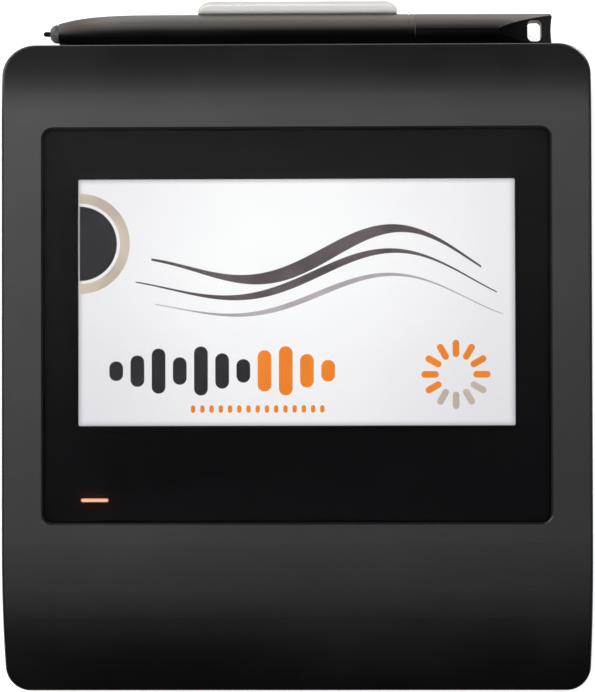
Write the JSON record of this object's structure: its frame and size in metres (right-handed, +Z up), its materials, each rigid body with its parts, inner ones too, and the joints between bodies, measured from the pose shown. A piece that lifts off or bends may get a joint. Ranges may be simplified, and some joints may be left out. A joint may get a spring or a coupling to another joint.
{
  "type": "signature pad",
  "caption": "Desktop signature pad with a colour screen under a flush pane, a wedge housing rolled at front and rear, and a pen in a tray along the rear edge.",
  "frame": {"origin": "on the table under the middle of the whole object, pen and holder included", "axes": "+Z up, +Y away from the writer towards the pen, +X to the writer's right"},
  "size_m": [0.15, 0.178, 0.0362],
  "materials": {
    "housing_black": "fine satin moulded black plastic",
    "base_black": "textured moulded black plastic",
    "glass_clear": "clear pane with polished edges",
    "film_black": "gloss black print behind the pane",
    "screen": "lit colour screen",
    "indicator_orange": "lit orange light pipe",
    "gasket_foam": "closed-cell foam",
    "diffuser_white": "clear light guide",
    "tray_steel": "thin pressed steel",
    "circuit_green": "solder-masked circuit board",
    "carrier_grey": "glass-filled moulded plastic",
    "chip_black": "moulded chip bodies",
    "connector_white": "moulded connectors",
    "flex_amber": "polyimide lead",
    "steel_plain": "zinc-plated steel",
    "screw_steel": "zinc-plated screws",
    "foot_rubber": "soft black rubber",
    "plate_silver": "bare plate",
    "holder_grey": "fine light grey moulded plastic",
    "pen_black": "satin moulded black plastic",
    "collar_grey": "grey moulded plastic",
    "nib_black": "hard low-friction plastic",
    "ferrite_grey": "sintered ferrite",
    "copper_wire": "enamelled copper winding"
  },
  "bodies": {
    "pad": {"top_housing": "housing_black", "base_shell": "base_black", "rubber_feet": "foot_rubber", "rating_plate": "plate_silver", "cover_glass": "glass_clear", "glass_border_film": "film_black", "lcd_gasket": "gasket_foam", "lcd_panel": "screen", "light_guide": "diffuser_white", "backlight_tray": "tray_steel", "sensor_board": "circuit_green", "sensor_shield": "steel_plain", "carrier_frame": "carrier_grey", "led_light_pipe": "indicator_orange", "status_led": "diffuser_white", "led_board": "circuit_green", "lcd_flex": "flex_amber", "sensor_flex": "flex_amber", "led_flex": "flex_amber", "main_board": "circuit_green", "board_chips": "chip_black", "board_connectors": "connector_white", "usb_socket": "steel_plain", "lock_plate": "steel_plain", "ballast_plate": "steel_plain", "housing_screws": "screw_steel", "carrier_screws": "screw_steel", "board_screws": "screw_steel", "ballast_screws": "screw_steel", "holder_screws": "screw_steel", "lock_screws": "screw_steel", "led_screws": "screw_steel", "pen_holder": "holder_grey"},
    "pen": {"pen_barrel": "pen_black", "pen_tip_collar": "collar_grey", "pen_end_cap": "pen_black", "pen_ferrite_core": "ferrite_grey", "pen_coil": "copper_wire", "pen_pressure_cell": "carrier_grey", "pen_circuit_board": "circuit_green"},
    "nib": {"pen_nib": "nib_black"}
  },
  "joints": [
    {"name": "pen_lift", "type": "slide", "parent": "pad", "child": "pen", "axis": [0, 0, 1], "range_m": [0, 0.05]},
    {"name": "nib_press", "type": "slide", "parent": "pen", "child": "nib", "axis": [1, 0, 0], "range_m": [0, 0.0006], "stiffness_N_per_m": 1000}
  ]
}
